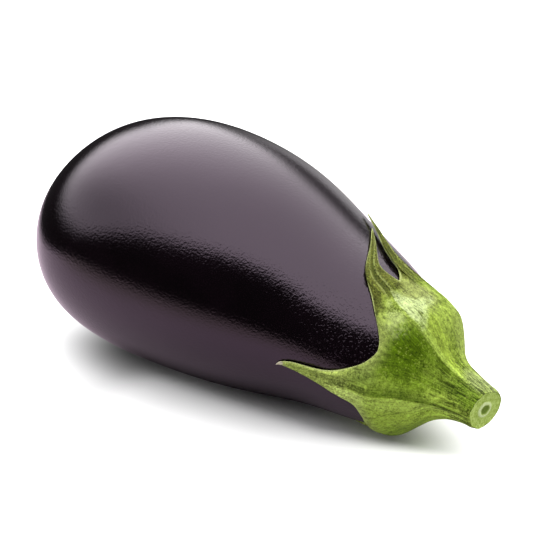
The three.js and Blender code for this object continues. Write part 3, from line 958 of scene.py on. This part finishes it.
# %% Fibres, specks and lines of the calyx
on_stem = along.step(0.97, 1.05)
grainy = 1.7 + on_lobe * 1.5 + on_stem * 1.2
shade = (fine - 0.5) * grainy + (mottle - 0.5) * 1.6 + (hairs - 0.5) * 1.2
shade = shade + (fibres - 0.5) * (on_stem * 2.6 + 1.0)
shade = shade + (blots - 0.5) * 1.0 + (ribs - 0.5) * (on_stem * 3.0 + 0.5) + 1
tone = start.node("VectorMath", {"operation": "SCALE"}, {0: tone, 3: shade.at_least(0.3)})
specks = cloud(0.8, 0).step(0.64, 0.72) * blots.step(0.42, 0.55) * 0.4
tone = specks.mix(tone, (0.34, 0.44, 0.07))
dots = cloud(0.9, 1).step(0.35, 0.55)
grooved = (along - near_lobe * 0.045).step(0.75, 0.785)
grooved = grooved * (1 - (along - near_lobe * 0.05).step(0.835, 0.86))
groove_width = along.step(0.79, 0.83) * 0.06 + 0.07
groove = (1 - (across / groove_width).step(0.6, 1.2)) * grooved * (dots * 0.6 + 0.05)
tone = groove.mix(tone, GROOVE)
vein = across.step(0.12, 0.17) * (1 - across.step(0.22, 0.32)) * (1 - along.step(0.83, 0.87)) * (1 - near_lobe)
tone = (vein * 0.7 * fine.step(0.35, 0.55)).mix(tone, (0.26, 0.31, 0.09))
thin_margin = edge_share.step(0.94, 0.975) * (fine.step(0.3, 0.55) * 0.7 + 0.25)
tone = thin_margin.mix(tone, (0.36, 0.42, 0.15))
dried = (1 - (along + (fine - 0.5) * 0.03).step(0.708, 0.716)) * near_lobe
tone = dried.mix(tone, CREAM)
print("lines drawn, nodes so far", len(green.node_tree.nodes))

# %% [markdown]
# ## Cut end and the green's finish
# The cut shows a dark edge of skin, bright flesh, and a pale ring round the darker pith. The side of the sheet that
# lies on the fruit is paler and plain. The whole calyx is matt, with fibres and grain that stand out a little.

# %% Cut end and the green's finish
GREEN_BUMP = 0.0004  # metres

collar = along.step(1.118, 1.122) * (1 - along.step(1.127, 1.131))
tone = (collar * 0.6 * mottle.step(0.3, 0.55)).mix(tone, (0.40, 0.46, 0.20))
flesh = (mottle * 0.5 + fine * 0.5).step(0.38, 0.62).mix((0.30, 0.43, 0.07), (0.50, 0.64, 0.18))
ring = cut - 0.35 + (mottle - 0.5) * 0.12
flesh = (1 - (ring * ring).step(0.002, 0.008)).mix(flesh, (0.62, 0.74, 0.36))
flesh = (1 - (cut + (mottle - 0.5) * 0.1).step(0.2, 0.27)).mix(flesh, (0.17, 0.26, 0.04))
flesh = (cut + (mottle - 0.5) * 0.06).step(0.95, 0.98).mix(flesh, (0.06, 0.10, 0.012))
tone = (1 - cut.step(1.0, 1.01)).mix(tone, flesh)
tone = (1 - mark["side"].step(-0.2, 0.2)).mix(tone, (0.26, 0.30, 0.12))
height = fine * 0.5 + hairs * 0.3 + fibres * 0.5 + mottle * 0.4
bump = start.node("Bump", None, {"Height": height, "Strength": 1.0, "Distance": GREEN_BUMP})
start.tree.links.new(tone.socket, surface.inputs["Base Color"])
start.tree.links.new(bump.socket, surface.inputs["Normal"])
start.tree.links.new((mottle * 0.3 + 0.42).socket, surface.inputs["Roughness"])
surface.inputs["Specular IOR Level"].default_value = 0.04
dress(calyx, green)
print("green nodes", len(green.node_tree.nodes))

# %% [markdown]
# ## Floor
# The fruit lies on a pale table. The table ends a hand's breadth away on the near and left sides, and the fruit
# mirrors that as a dark band between the table and the soft light. It fades out at its edges, because the
# photographed edge of the band is soft. The table is only a stage, and it isn't one physical surface: its colour
# depends on what looks at it, which the next two steps work out.

# %% Floor
TABLE_LEFT = (-0.275, -0.205)  # where the table fades out, from nothing to all of it
TABLE_NEAR = (-0.27, -0.09)
LEFT_EDGE_TURNS = 0.14  # past this y the left edge runs away to the left
BLACK, WHITE = (0, 0, 0), (1, 1, 1)

deselect_all()
bpy.ops.mesh.primitive_plane_add(size=4, location=(0.5, 0.5, 0))
floor = bpy.context.object
floor.name = "floor"
bpy.ops.object.transform_apply(location=True)
pale, surface, start = new_material("pale_floor")
place = start.node("TexCoord", output=3)
x, y = place.split(0), place.split(1)
left_edge = x + (y - LEFT_EDGE_TURNS).at_least(0)
table = left_edge.step(*TABLE_LEFT) * y.step(*TABLE_NEAR)
print("floor", [round(v, 1) for v in floor.dimensions], "m")

# %% [markdown]
# ## What the fruit mirrors of the table
# The lower rim of the fruit shows the near table, with a purple cast, and darker close to where the fruit rests. The
# upper rim shows the far table, lit on the right and dark on the left. The calyx gets its scattered light from a
# plain grey table, so that it stays green.

# %% What the fruit mirrors of the table
TABLE_GREY = (0.5, 0.5, 0.5)
BEYOND_FRUIT = (0.14, 0.26)  # metres past the origin, away from the camera
SHADED_TABLE = 0.6  # share of the light that is missing close to where the fruit rests

depth = y * math.cos(AZIMUTH) - x * math.sin(AZIMUTH)
sideways = x * math.cos(AZIMUTH) + y * math.sin(AZIMUTH)
far_table = (sideways / depth.at_least(0.01)).step(-0.05, 0.35).mix((0.015, 0.015, 0.015), (0.3, 0.3, 0.3))
near_table = y.step(-0.17, -0.08).mix((0.48, 0.42, 0.40), (0.54, 0.45, 0.52))
mirrored = depth.step(*BEYOND_FRUIT).mix(near_table, far_table)
shaded = y.step(-0.042, -0.022) * (1 - y.step(0.02, 0.04)) * x.step(-0.07, -0.045) * (1 - x.step(0, 0.05))
mirrored = (shaded * SHADED_TABLE).mix(mirrored, BLACK)
scattered = start.node("LightPath", output=2)
unseen = scattered.mix(mirrored, TABLE_GREY)
print("mirrored table done, nodes so far", len(pale.node_tree.nodes))

# %% [markdown]
# ## The shadow that the camera sees
# The photographed shadow is tighter than this light makes it, and it reaches further to the left. So the shadow is
# partly painted: the camera sees the table darkened in an oval under the blossom end, and glowing a little past the
# shadow on the near side, most of all on the right.

# %% The shadow that the camera sees
PAPER = (0.93, 0.96, 0.94)  # greener than the tinted light, so that the table looks white
OVAL_CENTRE, OVAL_SIZE = (-0.06, -0.01), (0.042, 0.029)
OVAL_DARKNESS = 0.8

seen = start.node("LightPath", output=0)
off_centre = (((x - OVAL_CENTRE[0]) / OVAL_SIZE[0]) ** 2 + ((y - OVAL_CENTRE[1]) / OVAL_SIZE[1]) ** 2) ** 0.5
paper = ((1 - off_centre.step(0, 1.1)) * OVAL_DARKNESS).mix(PAPER, BLACK)
# From x = 0.035 on, the line past which the table glows bends towards the back
past_shadow = 0.24 * (x - 0.035).at_least(0) - y - 0.0205
past_shadow = past_shadow.step(-0.001, 0.01) * x.step(-0.055, -0.035)
glow = (past_shadow * (x.step(0.01, 0.08) * 0.45 + 0.18) * seen).mix(BLACK, WHITE)
start.tree.links.new(seen.mix(unseen, paper).socket, surface.inputs["Base Color"])
start.tree.links.new(glow.socket, surface.inputs["Emission Color"])
start.tree.links.new(table.socket, surface.inputs["Alpha"])
surface.inputs["Emission Strength"].default_value = 1
surface.inputs["Roughness"].default_value = 0.9
surface.inputs["Specular IOR Level"].default_value = 0
dress(floor, pale)
print("floor nodes", len(pale.node_tree.nodes))

# %% [markdown]
# ## Light
# A wide soft light hangs overhead and reaches far down behind the fruit. Its near edge is straight, the walls under
# it are dark except on the right, and one patch at the back left is brighter. All of that is one pattern on the
# world, worked out from the direction of a ray, because the skin mirrors every part of the room. The camera itself
# sees plain white behind the floor.

# %% Light
def direction(azimuth, elevation):
    """A direction, with azimuth 0 towards the camera and 90 to its right."""
    a, e = math.radians(azimuth), math.radians(elevation)
    towards = Vector((back.x, back.y, 0)).normalized()
    right = Vector((-towards.y, towards.x, 0))
    return (towards * math.cos(a) + right * math.sin(a)) * math.cos(e) + Vector((0, 0, math.sin(e)))


NEAR_EDGE = math.tan(math.radians(48))  # rise of the light's near edge over the horizon, towards the camera
LIGHT = 3.0
DARK_WALLS = 0.03
TINT = (1, 0.965, 0.99, 1)
world = bpy.data.worlds.new("studio")
bpy.context.scene.world = world
world.use_nodes = True
tree = world.node_tree
tree.nodes.clear()
start = Wire(tree)
ray = start.node("TexCoord", output=0)


def facing(azimuth, elevation):
    """The cosine of the angle between the ray and a direction."""
    way = direction(azimuth, elevation)
    return start.node("VectorMath", {"operation": "DOT_PRODUCT"}, {0: ray, 1: way}, output=1)


rise = ray.split(2)
over_edge = (rise - facing(0, 0) * NEAR_EDGE).step(-0.12, 0.12)
right = facing(90, 0)
to_right, to_left = right.at_least(0), (right * -1).at_least(0)
# The light's far edge hangs lowest straight behind the fruit, and higher to both sides
hem = (to_right * 0.95).at_most(0.35) + to_left.at_most(0.19) - (to_left - 0.5).at_least(0) * 0.3
over_walls = (rise - hem).step(-0.04, 0.23)
# On the right, behind the fruit, the wall is lit as well, and more so near the floor
lit_wall = right.step(-0.05, 0.35) * facing(180, 0).step(0.4, 0.8) * (1 - rise.step(-0.02, 0.19) * 0.78)
bright_patch = facing(-160, 38).at_least(0) ** 7 * 1.8
dim_patch = facing(-85, 30).at_least(0) ** 8
light = (bright_patch + LIGHT - dim_patch) * (1 - to_left.step(0.55, 0.85) * 0.2)
strength = over_edge * over_walls * light + lit_wall * (1 - over_walls) + DARK_WALLS
walls = start.node("Background", None, {"Color": TINT, "Strength": strength})
white = start.node("Background", None, {"Color": (1, 1, 1, 1), "Strength": 1.0})
both = start.node("MixShader", None, {0: start.node("LightPath", output=0), 1: walls, 2: white})
shown = tree.nodes.new("ShaderNodeOutputWorld")
tree.links.new(both.socket, shown.inputs[0])
bpy.context.scene.view_settings.view_transform = "Standard"
print("light nodes", len(tree.nodes))
